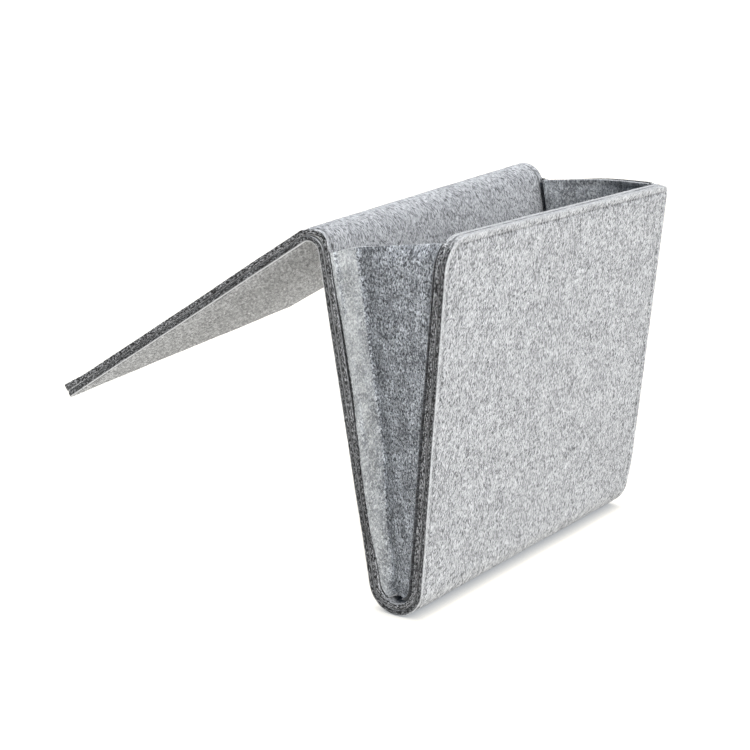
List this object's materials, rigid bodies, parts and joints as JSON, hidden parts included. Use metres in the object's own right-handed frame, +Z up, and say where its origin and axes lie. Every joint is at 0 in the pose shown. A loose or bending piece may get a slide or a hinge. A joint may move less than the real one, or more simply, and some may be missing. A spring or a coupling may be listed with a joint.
{
  "type": "bedside caddy",
  "caption": "Felt bedside pocket: a layered felt strip folded into a flap that tucks under a mattress, a back, a round bottom and a front, closed by bowed felt side gussets.",
  "frame": {"origin": "middle of the flap's underside, the face that lies on the bed base", "axes": "+X across the width, +Y from the front towards the flap's free end, +Z up as pictured"},
  "size_m": [0.23, 0.2699, 0.2071],
  "materials": {
    "pale_felt": "pale grey melange needle felt, matte",
    "shaded_felt": "grey melange needle felt, matte",
    "grey_thread": "spun polyester sewing thread, matte"
  },
  "bodies": {
    "flap": {"flap_under_ply": "shaded_felt", "flap_upper_ply": "pale_felt", "flap_under_thread": "grey_thread", "flap_upper_thread": "grey_thread"},
    "pocket": {"top_fold_under_ply": "shaded_felt", "top_fold_upper_ply": "pale_felt", "top_fold_under_left_thread": "grey_thread", "top_fold_under_right_thread": "grey_thread", "top_fold_upper_left_thread": "grey_thread", "top_fold_upper_right_thread": "grey_thread", "back_outer_ply": "pale_felt", "back_inner_ply": "pale_felt", "back_left_thread": "grey_thread", "back_right_thread": "grey_thread", "bottom_fold_outer_ply": "pale_felt", "bottom_fold_inner_ply": "pale_felt", "bottom_fold_left_thread": "grey_thread", "bottom_fold_right_thread": "grey_thread", "left_gusset": "shaded_felt", "right_gusset": "shaded_felt", "left_gusset_back_thread": "grey_thread", "right_gusset_back_thread": "grey_thread"},
    "front": {"front_outer_ply": "pale_felt", "front_inner_ply": "pale_felt", "front_outer_thread": "grey_thread", "front_rim_thread": "grey_thread", "left_gusset_front_thread": "grey_thread", "right_gusset_front_thread": "grey_thread"}
  },
  "joints": [
    {"name": "top_fold", "type": "hinge", "parent": "flap", "child": "pocket", "pos_m": [0, -0.09003, 0.05043], "axis": [1, 0, 0], "range_deg": [-100, 60], "stiffness_Nm_per_rad": 0.6, "springref_deg": -7.49, "deforming": ["top_fold_under_ply", "top_fold_upper_ply", "top_fold_under_left_thread", "top_fold_under_right_thread", "top_fold_upper_left_thread", "top_fold_upper_right_thread"]},
    {"name": "bottom_fold", "type": "hinge", "parent": "pocket", "child": "front", "pos_m": [0, -0.1483, -0.12569], "axis": [1, 0, 0], "range_deg": [-7, 4], "stiffness_Nm_per_rad": 0.5, "springref_deg": -1.45, "deforming": ["bottom_fold_outer_ply", "bottom_fold_inner_ply", "bottom_fold_left_thread", "bottom_fold_right_thread", "left_gusset", "right_gusset"]}
  ]
}
